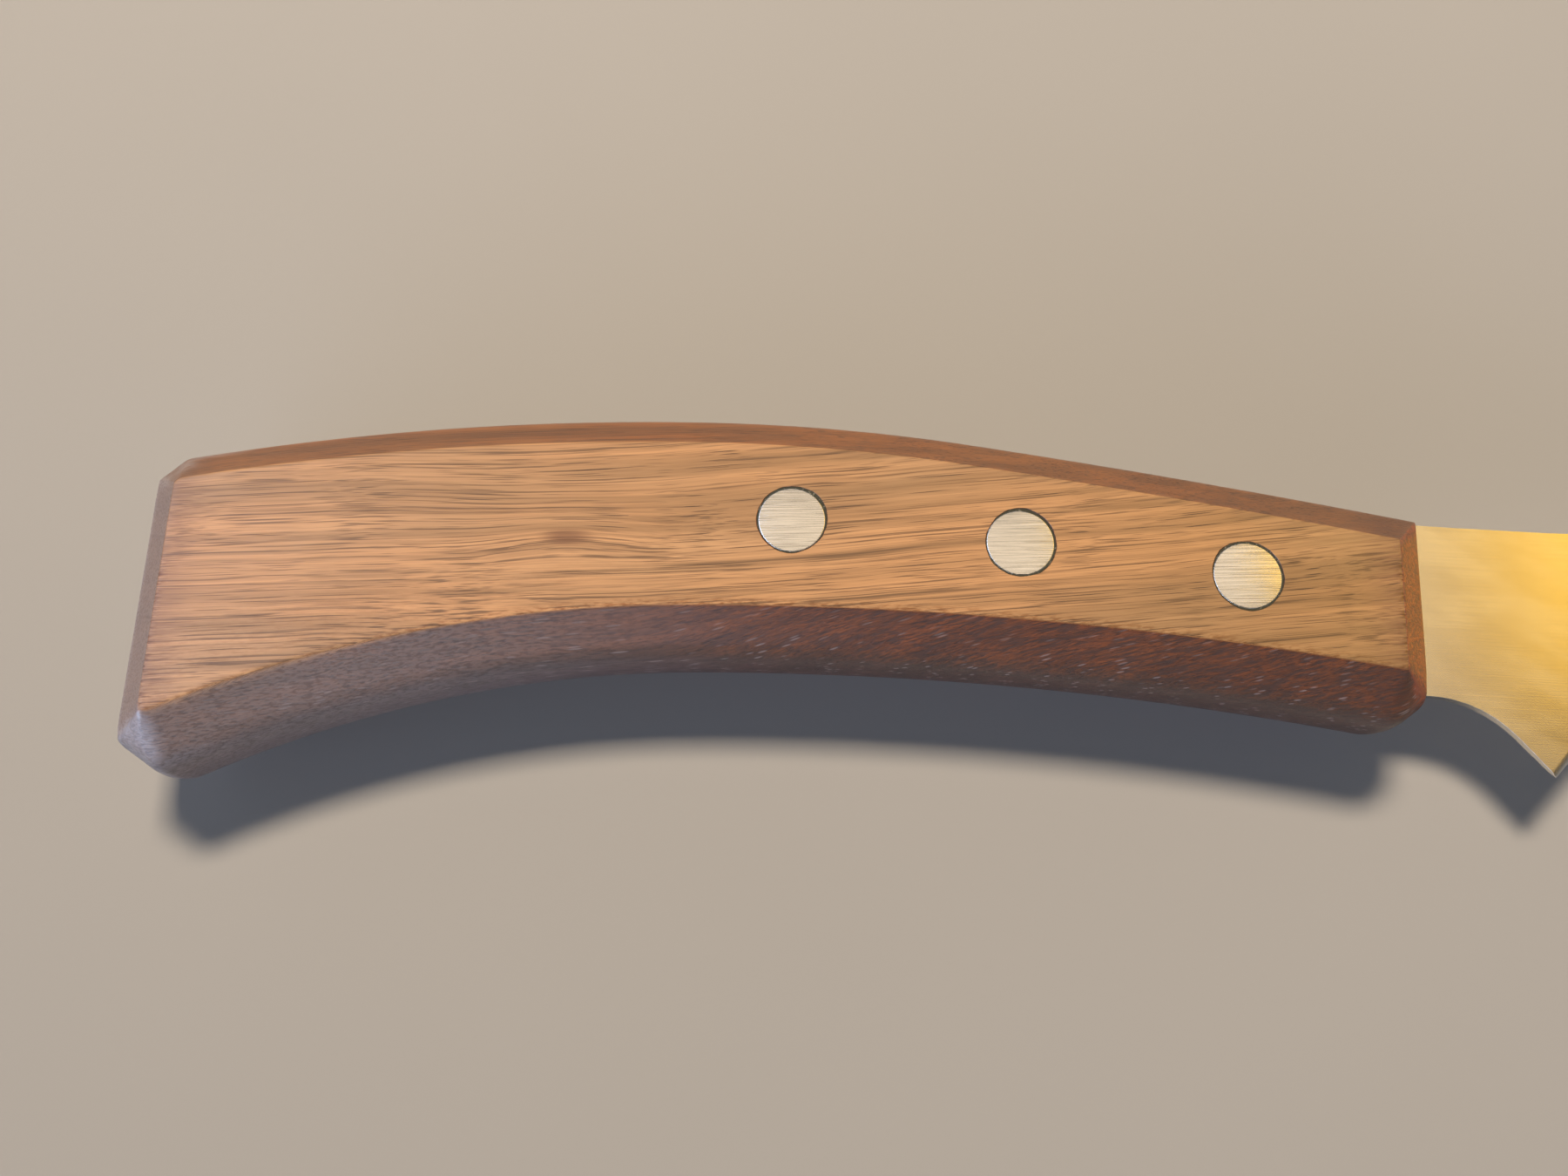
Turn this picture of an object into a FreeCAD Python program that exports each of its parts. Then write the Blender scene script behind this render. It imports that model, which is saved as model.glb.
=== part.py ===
"""Boning knife: a stiff blade with a hidden flat tang, riveted into a one-piece wooden handle.

The knife lies on its left side. +X runs along the knife to the tip, +Y is towards the
spine and +Z is its thickness, up from the flat that it rests on. The drawing below puts
X = 0 where the middle of the handle's front end is. Every shape is moved at the end, so
that the origin is under the middle of the whole knife's box, at the resting flat.
"""
import FreeCAD, Part
import math
import os

# ---- driving dimensions, in millimetres ----
THICK = 16.0                # across both flats of the handle
MID = THICK / 2             # height of the blade's middle plane
BUTT_X = -125.4             # the handle's rear end
FRONT_LEAN = 0.0887         # how far the handle's front end leans forward per mm of height

# The handle's section, from the crest at its middle plane to the flat: (inset, height)
CROWN = 0.6                 # how far the side walls stand out at the middle plane
BEVEL = 3.9                 # each flat's bevel, the same across and down
SECTION = [
    (CROWN + BEVEL, 0.0),
    (CROWN, BEVEL),
    (0.0, MID),
    (CROWN, THICK - BEVEL),
    (CROWN + BEVEL, THICK),
]

# The handle's two long edges at the crest, as tangent arcs that start from an apex
BACK_APEX = (-76.1, 19.3)
BACK_ARCS = [(267.0, -70.6), (190.0, -43.6), (960.0, 8.0)]      # (radius, where it ends)
BELLY_APEX = (-71.4, -6.1)
BELLY_REAR_RADIUS = 117.5
BELLY_FRONT_RADIUS = 352.0
OVERRUN = 8.0               # extra length at each end, which the end cuts take off

# Straight cuts across the handle's ends: a point on the cut and its outward direction
BUTT_TOP_CUT = (-124.6, 13.3, 132.0)
BUTT_LOW_CUT = (-122.9, -15.6, 236.0)
FRONT_LOW_CUT = (-2.9, -11.6, 305.0)

# The blade
BLADE_LENGTH = 150.0        # from the handle to the tip
STOCK = 2.0                 # the blank's thickness, kept in the tang
HEEL_HALF = 0.25            # half the thickness that the grinding leaves at the heel
TIP_HALF = 0.45             # half the thickness that it leaves at the tip
EDGE_LAND = 0.03            # half the thickness of the very edge
EDGE_ANGLE = 18.0           # each side's sharpening angle, in degrees
EDGE_REACH = 2.4            # how far from the edge the sharpening can reach
# The blade's outline as corners, each with the radius that it is rounded to
SPINE_START = (FRONT_LEAN * 8.7, 8.7)
TIP = (BLADE_LENGTH, 11.3)
HEEL = (11.9, -16.7)
CHOIL_END = (FRONT_LEAN * -8.7, -8.7)
SPINE_BEND = [(29.4, 6.8, 450.0)]
EDGE_BENDS = [(133.4, -2.2, 50.0), (20.9, -8.0, 12.0)]
CHOIL_BEND = [(5.9, -9.3, 11.0)]

# The tang, a flat strip along the line of the rivets
TANG_HALF = 5.5
TANG_REAR = -70.0
SLOT_CLEARANCE = 0.05
# The rivets, from the front one back
RIVETS = {"front": (-18.9, 1.2), "middle": (-40.0, 4.45), "rear": (-61.6, 6.75)}
HEAD_DIA = 6.4
HEAD_HEIGHT = 1.7
HEAD_GAP = 0.28             # clearance around each head in its counterbore
TUBE_DIA = 4.0
TUBE_LENGTH = 11.0
PIN_DIA = 2.4
PIN_LENGTH = 9.0
HOLE_DIA = 4.15
TIP_CHAMFER = 0.3

UP = FreeCAD.Vector(0, 0, 1)


def vec(x, y, z=0.0):
    return FreeCAD.Vector(x, y, z)


# ---- outlines ----
def arc_between(centre, radius, x_from, x_to, z):
    """The upper arc of a circle from one x to another, at height z."""
    def at(x):
        return vec(x, centre[1] + math.sqrt(radius**2 - (x - centre[0])**2), z)
    return Part.Arc(at(x_from), at((x_from + x_to) / 2), at(x_to)).toShape()


def back_edge(inset, z):
    """The handle's back from the butt forward: each arc's centre is on the last one's end radius."""
    radius = BACK_ARCS[0][0]
    centre = (BACK_APEX[0], BACK_APEX[1] - radius)
    x_start = BUTT_X - OVERRUN
    edges = []
    for next_radius, x_end in BACK_ARCS:
        if next_radius != radius:
            joint_y = centre[1] + math.sqrt(radius**2 - (x_start - centre[0])**2)
            scale = next_radius / radius
            centre = (
                x_start + (centre[0] - x_start) * scale,
                joint_y + (centre[1] - joint_y) * scale,
            )
            radius = next_radius
        # an inset end moves along its own radius, so inset edges still meet
        shrink = (radius - inset) / radius
        first = centre[0] + (x_start - centre[0]) * shrink
        last = centre[0] + (x_end - centre[0]) * shrink
        edges.append(arc_between(centre, radius - inset, first, last, z))
        x_start = x_end
    return edges


def belly_edge(inset, z):
    """The handle's hollow belly from the front back: two arcs that meet at its apex."""
    edges = []
    stretches = [
        (BELLY_FRONT_RADIUS, OVERRUN, BELLY_APEX[0]),
        (BELLY_REAR_RADIUS, BELLY_APEX[0], BUTT_X - OVERRUN),
    ]
    for radius, x_from, x_to in stretches:
        centre = (BELLY_APEX[0], BELLY_APEX[1] - radius)
        grow = (radius + inset) / radius
        first = centre[0] + (x_from - centre[0]) * grow
        last = centre[0] + (x_to - centre[0]) * grow
        edges.append(arc_between(centre, radius + inset, first, last, z))
    return edges


def handle_outline(inset, z):
    """The closed outline at one height: back, front run-out, belly, rear run-out."""
    back = back_edge(inset, z)
    belly = belly_edge(inset, z)
    front = Part.LineSegment(back[-1].lastVertex(True).Point, belly[0].firstVertex(True).Point)
    rear = Part.LineSegment(belly[-1].lastVertex(True).Point, back[0].firstVertex(True).Point)
    return Part.Wire(back + [front.toShape()] + belly + [rear.toShape()])


def rounded_path(start, corners, stop, z):
    """Straight runs from start to stop, with each corner between rounded to its radius."""
    places = [start] + [(x, y) for x, y, radius in corners] + [stop]
    points = [vec(x, y, z) for x, y in places]
    edges = []
    last = points[0]
    for i, (x, y, radius) in enumerate(corners, 1):
        before = points[i - 1] - points[i]
        after = points[i + 1] - points[i]
        before.normalize()
        after.normalize()
        half = before.getAngle(after) / 2
        cut = radius / math.tan(half)
        middle = before + after
        middle.normalize()
        top = points[i] + middle * (radius / math.sin(half) - radius)
        first = points[i] + before * cut
        edges.append(Part.LineSegment(last, first).toShape())
        last = points[i] + after * cut
        edges.append(Part.Arc(first, top, last).toShape())
    edges.append(Part.LineSegment(last, points[-1]).toShape())
    return edges


# ---- the handle ----
def end_cutter(x, y, degrees):
    """What one straight cut takes away: everything outside the handle's section there."""
    reach = 30.0
    points = [vec(-inset, 0, height) for inset, height in SECTION]
    points[0] = points[0] + vec(-1, 0, -1)
    points[-1] = points[-1] + vec(-1, 0, 1)
    points += [vec(reach, 0, THICK + 1), vec(reach, 0, -1)]
    face = Part.Face(Part.makePolygon(points + [points[0]]))
    face.translate(vec(0, -2 * reach))
    cutter = face.extrude(vec(0, 4 * reach))
    cutter.rotate(vec(0, 0), UP, degrees)
    cutter.translate(vec(x, y))
    return cutter


def tang_shape(clearance, x_front, height):
    """The tang as a straight strip with a round rear end, through the outer rivets."""
    front = RIVETS["front"]
    rear = RIVETS["rear"]
    slope = (front[1] - rear[1]) / (front[0] - rear[0])
    angle = math.atan(slope)
    half = TANG_HALF + clearance
    length = (x_front - TANG_REAR) / math.cos(angle) - TANG_HALF
    strip = Part.makeBox(length, 2 * half, height, vec(0, -half, -height / 2))
    end = Part.makeCylinder(half, height, vec(0, 0, -height / 2))
    shape = strip.fuse(end).removeSplitter()
    shape.rotate(vec(0, 0), UP, math.degrees(angle))
    x_end = TANG_REAR + TANG_HALF * math.cos(angle)
    shape.translate(vec(x_end, rear[1] + slope * (x_end - rear[0]), MID))
    return shape


def rivet_bore(x, y):
    """A rivet's hole with a counterbore for the head at each side."""
    bore = Part.makeCylinder(HOLE_DIA / 2, THICK, vec(x, y))
    wide = HEAD_DIA / 2 + HEAD_GAP
    low = Part.makeCylinder(wide, HEAD_HEIGHT, vec(x, y))
    high = Part.makeCylinder(wide, HEAD_HEIGHT, vec(x, y, THICK - HEAD_HEIGHT))
    return bore.fuse([low, high])


def handle():
    sections = [handle_outline(inset, height) for inset, height in SECTION]
    body = Part.makeLoft(sections, True, True)
    lean = math.degrees(math.atan(FRONT_LEAN))
    cuts = [
        (BUTT_X, 0.0, 180.0),
        (0.0, 0.0, -lean),
        BUTT_TOP_CUT,
        BUTT_LOW_CUT,
        FRONT_LOW_CUT,
    ]
    for x, y, degrees in cuts:
        body = body.cut(end_cutter(x, y, degrees))
    body = body.cut(tang_shape(SLOT_CLEARANCE, OVERRUN, STOCK + 2 * SLOT_CLEARANCE))
    for x, y in RIVETS.values():
        body = body.cut(rivet_bore(x, y))
    return body.removeSplitter()


# ---- the blade ----
def ground_off(side):
    """What the flat grinding takes off one side: the space beyond a plane through three points."""
    spine = vec(0, SPINE_START[1], MID + side * STOCK / 2)
    tip = vec(TIP[0], TIP[1], MID + side * TIP_HALF)
    heel = vec(HEEL[0], HEEL[1], MID + side * HEEL_HALF)
    normal = (tip - spine).cross(heel - spine) * -side
    block = Part.makeBox(4 * BLADE_LENGTH, 4 * BLADE_LENGTH, STOCK)
    block.translate(vec(-2 * BLADE_LENGTH, -2 * BLADE_LENGTH))
    block.Placement = FreeCAD.Placement(spine, FreeCAD.Rotation(UP, normal)).multiply(block.Placement)
    return block


def sharpened_off(edge, side):
    """What sharpening takes off one side along one run or arc of the cutting edge."""
    start = edge.firstVertex(True).Point
    along = edge.tangentAt(edge.FirstParameter)
    inward = UP.cross(along) * -1
    drop = EDGE_REACH * math.tan(math.radians(EDGE_ANGLE))
    profile = [(-1.0, EDGE_LAND), (0.0, EDGE_LAND), (EDGE_REACH, EDGE_LAND + drop), (-1.0, EDGE_LAND + drop)]
    points = [start + inward * reach + UP * (side * height) for reach, height in profile]
    face = Part.Face(Part.makePolygon(points + [points[0]]))
    if edge.Curve.TypeId == "Part::GeomLine":
        return face.extrude(along * edge.Length)
    turn = edge.Length / edge.Curve.Radius * (1 if edge.Curve.Axis.z > 0 else -1)
    return face.revolve(edge.Curve.Center, UP, math.degrees(turn))


def blade_body():
    """The blade ahead of the handle: outline, flat grinding, then the sharpened edge."""
    spine = rounded_path(SPINE_START, SPINE_BEND, TIP, MID)
    edge = rounded_path(TIP, EDGE_BENDS, HEEL, MID)
    choil = rounded_path(HEEL, CHOIL_BEND, CHOIL_END, MID)
    back = Part.LineSegment(vec(*CHOIL_END, MID), vec(*SPINE_START, MID)).toShape()
    outline = Part.Face(Part.Wire(spine + edge + choil + [back]))
    outline.translate(vec(0, 0, -STOCK / 2))
    body = outline.extrude(vec(0, 0, STOCK))
    for side in (1, -1):
        body = body.cut(ground_off(side))
        for run in edge:
            body = body.cut(sharpened_off(run, side))
    return body


def blade():
    tang = tang_shape(0.0, 0.0, STOCK)
    front = Part.makeBox(OVERRUN, 2 * BLADE_LENGTH, THICK, vec(0, -BLADE_LENGTH))
    front.rotate(vec(0, 0), UP, -math.degrees(math.atan(FRONT_LEAN)))
    body = blade_body().fuse(tang.cut(front))
    for x, y in RIVETS.values():
        body = body.cut(Part.makeCylinder(HOLE_DIA / 2, THICK, vec(x, y)))
    return body.removeSplitter()


# ---- the rivets ----
def rivet_female(x, y):
    """The lower half: a flat head and a tube that the pin is pressed into."""
    head = Part.makeCylinder(HEAD_DIA / 2, HEAD_HEIGHT, vec(x, y))
    tube = Part.makeCylinder(TUBE_DIA / 2, TUBE_LENGTH, vec(x, y, HEAD_HEIGHT))
    bore = Part.makeCylinder(PIN_DIA / 2, TUBE_LENGTH, vec(x, y, HEAD_HEIGHT))
    return head.fuse(tube).cut(bore).removeSplitter()


def rivet_male(x, y):
    """The upper half: a flat head and a solid pin with a chamfered end."""
    under = THICK - HEAD_HEIGHT
    head = Part.makeCylinder(HEAD_DIA / 2, HEAD_HEIGHT, vec(x, y, under))
    tip = under - PIN_LENGTH
    pin = Part.makeCylinder(PIN_DIA / 2, PIN_LENGTH - TIP_CHAMFER, vec(x, y, tip + TIP_CHAMFER))
    end = Part.makeCone(PIN_DIA / 2 - TIP_CHAMFER, PIN_DIA / 2, TIP_CHAMFER, vec(x, y, tip))
    return head.fuse([pin, end]).removeSplitter()


def build():
    nodes = {"handle": handle(), "blade": blade()}
    for place, (x, y) in RIVETS.items():
        nodes[f"rivet_{place}_female"] = rivet_female(x, y)
        nodes[f"rivet_{place}_male"] = rivet_male(x, y)
    box = Part.makeCompound(list(nodes.values())).BoundBox
    os.makedirs("parts", exist_ok=True)
    for name, shape in nodes.items():
        shape.translate(vec(-box.Center.x, -box.Center.y))
        shape.exportStep(f"parts/{name}.step")
        print(f"{name:22s} valid {shape.isValid()}  solids {len(shape.Solids)}  {shape.Volume:8.0f} mm3")
    print(f"box {box.XLength:.2f} x {box.YLength:.2f} x {box.ZLength:.2f}, z from {box.ZMin:.3f}")
    print(f"shift {-box.Center.x:.3f} {-box.Center.y:.3f}")


build()
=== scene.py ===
# %% [markdown]
# # A boning knife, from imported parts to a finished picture
# The knife is a steel blade whose tang is hidden in a one-piece walnut handle, held there by
# three rivets that were sanded flush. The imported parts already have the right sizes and
# places, so this lesson only adds what the eye looks for: softened edges, steel that shows
# how it was ground, wood with grain and pores, and light that brings them out.

# %% Load the frame
import math

import bmesh
import bpy
import numpy as np
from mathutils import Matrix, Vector


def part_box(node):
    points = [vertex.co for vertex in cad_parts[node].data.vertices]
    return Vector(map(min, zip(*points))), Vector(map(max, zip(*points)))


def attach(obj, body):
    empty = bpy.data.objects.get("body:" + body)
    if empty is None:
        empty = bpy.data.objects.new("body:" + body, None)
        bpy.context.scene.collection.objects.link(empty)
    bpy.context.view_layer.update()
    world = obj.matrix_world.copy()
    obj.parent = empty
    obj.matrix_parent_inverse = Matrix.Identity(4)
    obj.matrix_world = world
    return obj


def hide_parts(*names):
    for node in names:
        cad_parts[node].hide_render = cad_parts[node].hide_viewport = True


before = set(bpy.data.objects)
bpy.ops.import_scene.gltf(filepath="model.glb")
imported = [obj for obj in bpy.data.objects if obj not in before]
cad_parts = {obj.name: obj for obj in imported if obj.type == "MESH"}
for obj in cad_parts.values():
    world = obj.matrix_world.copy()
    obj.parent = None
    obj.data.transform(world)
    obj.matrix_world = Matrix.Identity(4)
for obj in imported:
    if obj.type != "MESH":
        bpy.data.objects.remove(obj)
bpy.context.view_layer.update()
MM = 0.001
print("nodes:", sorted(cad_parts))


# %% [markdown]
# ## Reading places from the parts
# Blender works in metres here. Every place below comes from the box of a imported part, so
# nothing has to be fitted by eye. The handle's box gives the picture's centre, its flat's
# height and the level of the table.

# %% The handle's box
HANDLE_LOW, HANDLE_HIGH = (np.array(corner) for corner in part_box("handle"))
THICK = HANDLE_HIGH[2] - HANDLE_LOW[2]
print("handle, mm:", np.round((HANDLE_HIGH - HANDLE_LOW) / MM, 1))


# %% [markdown]
# ## The camera
# A wide lens close over the table sees the knife in strong perspective, and that is part of
# its look: the flat is nearer than the blade, so it looks larger. A lens of 25 mm on a 36 mm
# sensor gives that wide view. The camera leans 16 degrees towards the belly side, which is
# why the lower bevel shows more than the upper one. It could be aimed with a Track To
# constraint, but a turn about X alone keeps the picture level.

# %% Place the camera
LEAN = math.radians(16.0)
DISTANCE = 101.6 * MM       # from the lens to the handle's flat


def place_camera():
    """Back from the aim point along the line of sight, which leans from vertical about X."""
    aim = (HANDLE_LOW + HANDLE_HIGH) / 2
    aim[1] -= 1.15 * MM
    aim[2] = HANDLE_HIGH[2]
    lens = bpy.data.cameras.new("wide_lens")
    lens.lens = 25.0
    lens.sensor_width = 36.0
    lens.clip_start = 0.01
    camera = bpy.data.objects.new("camera", lens)
    camera.location = aim + DISTANCE * np.array([0.0, -math.sin(LEAN), math.cos(LEAN)])
    camera.rotation_euler = (LEAN, 0.0, 0.0)
    bpy.context.scene.collection.objects.link(camera)
    bpy.context.scene.camera = camera
    return camera


camera = place_camera()
print("camera, mm:", [round(value / MM, 1) for value in camera.location])


# %% [markdown]
# ## Meshes from arrays
# A surface is a grid of points that depend on two numbers, say the angle round an axis and the
# place along a profile. numpy works out all points at once, and the faces follow from the
# grid's own numbering, so no loop over vertices is needed. A grid that goes once round an axis
# joins its last column to its first, and one that closes on itself joins its last row too.

# %% Grid helpers
def grid_faces(rows, columns, round_columns=True, round_rows=False):
    """Quads of a grid: each takes a point, the next one in its row, and the two beyond them."""
    row, column = np.meshgrid(
        np.arange(rows if round_rows else rows - 1),
        np.arange(columns if round_columns else columns - 1),
        indexing="ij",
    )
    beyond = (row + 1) % rows
    after = (column + 1) % columns
    corners = [
        row * columns + column,
        row * columns + after,
        beyond * columns + after,
        beyond * columns + column,
    ]
    return np.stack(corners, axis=-1).reshape(-1, 4).tolist()


def new_piece(name, points, faces, smooth_below=40.0):
    """A mesh object at the origin from points in millimetres; sharper edges stay sharp."""
    mesh = bpy.data.meshes.new(name)
    mesh.from_pydata((np.asarray(points) * MM).tolist(), [], faces)
    mesh.polygons.foreach_set("use_smooth", np.ones(len(mesh.polygons), dtype=bool))
    mesh.set_sharp_from_angle(angle=math.radians(smooth_below))
    mesh.update()
    piece = bpy.data.objects.new(name, mesh)
    bpy.context.scene.collection.objects.link(piece)
    return piece


def turned(name, centre, profile, steps=96, swell=0.0):
    """A solid of revolution: each profile point (radius, height) goes round an upright axis.

    x = centre x + (radius + swell) * cos(angle), y = centre y + (radius + swell) * sin(angle),
    and z = height. The swell may differ from angle to angle. The profile starts and ends on
    the axis, where its points become the two poles.
    """
    profile = np.array(profile, dtype=float)
    angle = np.linspace(0.0, 2 * math.pi, steps, endpoint=False)
    round_part = profile[1:-1]
    radius = round_part[:, :1] + swell
    points = np.stack([
        centre[0] + radius * np.cos(angle),
        centre[1] + radius * np.sin(angle),
        np.repeat(round_part[:, 1:], steps, axis=1),
    ], axis=-1).reshape(-1, 3)
    poles = [[*centre, profile[0, 1]], [*centre, profile[-1, 1]]]
    bottom = len(points)
    last_row = bottom - steps
    here = np.arange(steps)
    after = (here + 1) % steps
    faces = grid_faces(len(round_part), steps)
    faces += np.stack([np.full(steps, bottom), after, here], axis=-1).tolist()
    faces += np.stack([np.full(steps, bottom + 1), last_row + here, last_row + after], axis=-1).tolist()
    return new_piece(name, np.vstack([points, poles]), faces)


print("a 3 x 4 ring has", len(grid_faces(3, 4)), "faces")


# %% [markdown]
# ## A small language for shaders
# Node trees get long when every link takes its own line. `add` makes a node, sets its
# options, and takes for each input either a plain value or another node's output. The
# shorter helpers cover the nodes that are used most.

# %% Shader helpers
def add(tree, kind, inputs=None, **options):
    """One node: options are its own settings, and inputs are values or outputs to link."""
    node = tree.nodes.new(kind)
    for key, value in options.items():
        setattr(node, key, value)
    for key, value in (inputs or {}).items():
        if isinstance(value, bpy.types.NodeSocket):
            tree.links.new(value, node.inputs[key])
        else:
            node.inputs[key].default_value = value
    return node


def calc(tree, operation, first, second=0.0):
    """One step of arithmetic."""
    return add(tree, "ShaderNodeMath", {0: first, 1: second}, operation=operation).outputs[0]


def calc_vector(tree, operation, first, second):
    """One step of arithmetic on all three coordinates."""
    return add(tree, "ShaderNodeVectorMath", {0: first, 1: second}, operation=operation).outputs[0]


def blend(tree, factor, low, high, kind="MIX"):
    """Two colours mixed by a factor. A colour has three parts, and its alpha is always 1."""
    node = add(tree, "ShaderNodeMix", {"Factor": factor}, data_type="RGBA", blend_type=kind)
    for place, value in ((6, low), (7, high)):
        if isinstance(value, bpy.types.NodeSocket):
            tree.links.new(value, node.inputs[place])
        else:
            node.inputs[place].default_value = (*value, 1.0)
    return node.outputs[2]


def ramp(tree, value, start, stop, low=0.0, high=1.0):
    """Goes smoothly from low, where the value is at start, to high, where it is at stop."""
    node = add(tree, "ShaderNodeMapRange", {
        "Value": value,
        "From Min": start,
        "From Max": stop,
        "To Min": low,
        "To Max": high,
    })
    node.interpolation_type = "SMOOTHSTEP"
    return node.outputs[0]


def new_group(name, inputs, outputs):
    """A node group: inputs give a default number, or None for a vector; outputs give their kind."""
    group = bpy.data.node_groups.new(name, "ShaderNodeTree")
    for label, value in inputs.items():
        kind = "NodeSocketVector" if value is None else "NodeSocketFloat"
        socket = group.interface.new_socket(label, in_out="INPUT", socket_type=kind)
        if value is not None:
            socket.default_value = value
    for label, kind in outputs.items():
        group.interface.new_socket(label, in_out="OUTPUT", socket_type=f"NodeSocket{kind}")
    source = group.nodes.new("NodeGroupInput")
    sink = group.nodes.new("NodeGroupOutput")
    return group, source.outputs, sink.inputs


def use_group(tree, group, inputs):
    """A group placed in a tree; gives its named outputs."""
    return add(tree, "ShaderNodeGroup", inputs, node_tree=group).outputs


def new_material(name, color):
    """A material with a Principled BSDF, and the tree to build its pattern in."""
    material = bpy.data.materials.new(name)
    material.use_nodes = True
    material.diffuse_color = (*color, 1.0)
    tree = material.node_tree
    return material, tree, tree.nodes["Principled BSDF"]


def feed(tree, shader, **inputs):
    """Values or outputs for the Principled BSDF, with _ in a name for a space."""
    for key, value in inputs.items():
        socket = shader.inputs[key.replace("_", " ")]
        if isinstance(value, bpy.types.NodeSocket):
            tree.links.new(value, socket)
        else:
            socket.default_value = value


print("shader helpers ready")


# %% [markdown]
# ## The table and the light
# A plain pale table and soft studio lights keep attention on the knife. A warm key high on
# the spine side lights the wood, and a cool window-like panel low on the belly side reaches
# under the bevel. The other panels are seen only in reflections. A warm ceiling gives the
# rivets their cream tone, a golden panel hangs where the blade mirrors it, and a cool one
# gives the butt its haze. That is why bare steel looks golden from above and grey elsewhere.

# %% Table
def make_table():
    """A flat square a little under the knife, far wider than the view."""
    reach = 12000.0
    side = np.array([-reach, reach])
    x, y = np.meshgrid(side, side)
    z = np.full_like(x, HANDLE_LOW[2] / MM - 0.05)
    points = np.stack([x, y, z], axis=-1).reshape(-1, 3)
    table = new_piece("table", points, grid_faces(2, 2, round_columns=False))
    material, tree, shader = new_material("pale_table", (0.42, 0.41, 0.39))
    place = add(tree, "ShaderNodeTexCoord").outputs["Object"]
    cloud = add(tree, "ShaderNodeTexNoise", {"Vector": place, "Scale": 9.0, "Detail": 3.0})
    color = blend(tree, cloud.outputs[0], (0.40, 0.39, 0.375), (0.44, 0.43, 0.415))
    feed(tree, shader, Base_Color=color, Roughness=0.7)
    shader.inputs["Specular IOR Level"].default_value = 0.1
    table.data.materials.append(material)
    return table


table = make_table()
print("table at", round(table.data.vertices[0].co.z / MM, 2), "mm")


# %% [markdown]
# ## Lights
# In a studio each light would be a softbox on a stand or a sheet hung over the table. A
# panel here is given by its offset from the handle's flat and its radiance, the brightness
# of its face, so it can be made larger or moved away without a new sum for its power. A
# world of one plain colour would be simpler, but steel needs something to mirror.

# %% Lights
FLAT_CENTRE = (HANDLE_LOW + HANDLE_HIGH) / 2 + np.array([0.0, 0.0, THICK / 2])
WARM = (1.0, 0.83, 0.64)
COOL = (0.56, 0.70, 1.0)
CREAM = (1.0, 0.81, 0.60)
GOLD = (1.0, 0.57, 0.03)
PALE_GOLD = (1.0, 0.80, 0.24)


def soft_light(name, offset, size, radiance, color, seen="both", level=False):
    """A rectangular light at an offset from the handle's flat, facing it, or level and facing down."""
    data = bpy.data.lights.new(name, "AREA")
    data.shape = "RECTANGLE"
    data.size, data.size_y = size
    data.energy = radiance * math.pi * size[0] * size[1]
    data.color = color
    light = bpy.data.objects.new(name, data)
    light.location = FLAT_CENTRE + np.array(offset)
    if not level:
        light.rotation_euler = Vector(offset).to_track_quat("Z", "Y").to_euler()
    light.visible_diffuse = seen != "reflections"
    light.visible_glossy = seen != "shading"
    bpy.context.scene.collection.objects.link(light)
    print(f"{name}: {data.energy:.2f} W")
    return light


def hung_panel(name, offset, size, radiance, color):
    """A level panel overhead that only reflections show."""
    return soft_light(name, offset, size, radiance, color, seen="reflections", level=True)


def make_room(skirting, walls, overhead):
    """The world: dim at the floor, pale at the level of the eye, and dim again overhead."""
    world = bpy.data.worlds.new("room")
    world.use_nodes = True
    tree = world.node_tree
    direction = add(tree, "ShaderNodeTexCoord").outputs["Generated"]
    height = add(tree, "ShaderNodeSeparateXYZ", {0: direction}).outputs[2]
    background = tree.nodes["Background"]
    background.inputs["Color"].default_value = (0.88, 0.88, 0.90, 1.0)
    lower = ramp(tree, height, 0.0, 0.22, skirting, walls)
    upper = ramp(tree, height, 0.22, 0.66, walls, overhead)
    tree.links.new(calc(tree, "MINIMUM", lower, upper), background.inputs["Strength"])
    bpy.context.scene.world = world


soft_light("key", (-0.03, 0.40, 0.66), (0.21, 0.13), 81.0, WARM, seen="shading")
soft_light("window", (-1.90, -1.90, 0.55), (4.20, 0.90), 4.9, COOL)
soft_light("low_window", (-1.60, -0.80, 0.21), (0.80, 0.34), 22.0, COOL, seen="reflections")
hung_panel("ceiling", (0.03, 0.20, 0.60), (0.80, 0.70), 0.95, CREAM)
hung_panel("gold_panel", (0.89, 0.51, 0.60), (0.78, 0.90), 1.95, GOLD)
hung_panel("glow_panel", (0.64, 0.32, 0.60), (0.32, 0.26), 1.50, PALE_GOLD)
hung_panel("haze_panel", (-0.56, 0.15, 0.60), (0.44, 0.50), 4.6, COOL)
make_room(0.08, 0.62, 0.045)
bpy.context.scene.view_settings.view_transform = "Standard"


# %% [markdown]
# ## The handle's shape
# The handle was cut from a walnut board to its outline in plan, then every edge was sanded to
# the same bevel all the way round. So its shape is an outline carried down one section: two
# hollow and full arcs and five straight cuts in plan, and flat, bevel, wall, bevel, flat from
# top to bottom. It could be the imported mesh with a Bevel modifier, but that rounds every edge
# alike and stumbles over the rivet holes. Here the rounding is part of the formula, so the
# belly can be soft where a hand wears it, while the flat's edge stays crisp.

# %% The handle's sides
FRONT_RIVET = (-18.9, 1.2)      # the front rivet's centre in the handle's own drawing
rivet_low, rivet_high = (np.array(corner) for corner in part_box("rivet_front_male"))
SHIFT = ((rivet_low + rivet_high) / 2)[:2] / MM - FRONT_RIVET
TOP = 16.0
BEVEL = 3.9
CROWN = 0.6
FLAT_INSET = CROWN + BEVEL
BACK_ARCS = [(267.0, -70.6), (190.0, -43.6), (960.0, 8.0)]
BELLY_APEX = (-71.4, -6.1)
BELLY_RADII = (117.5, 352.0)


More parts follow.
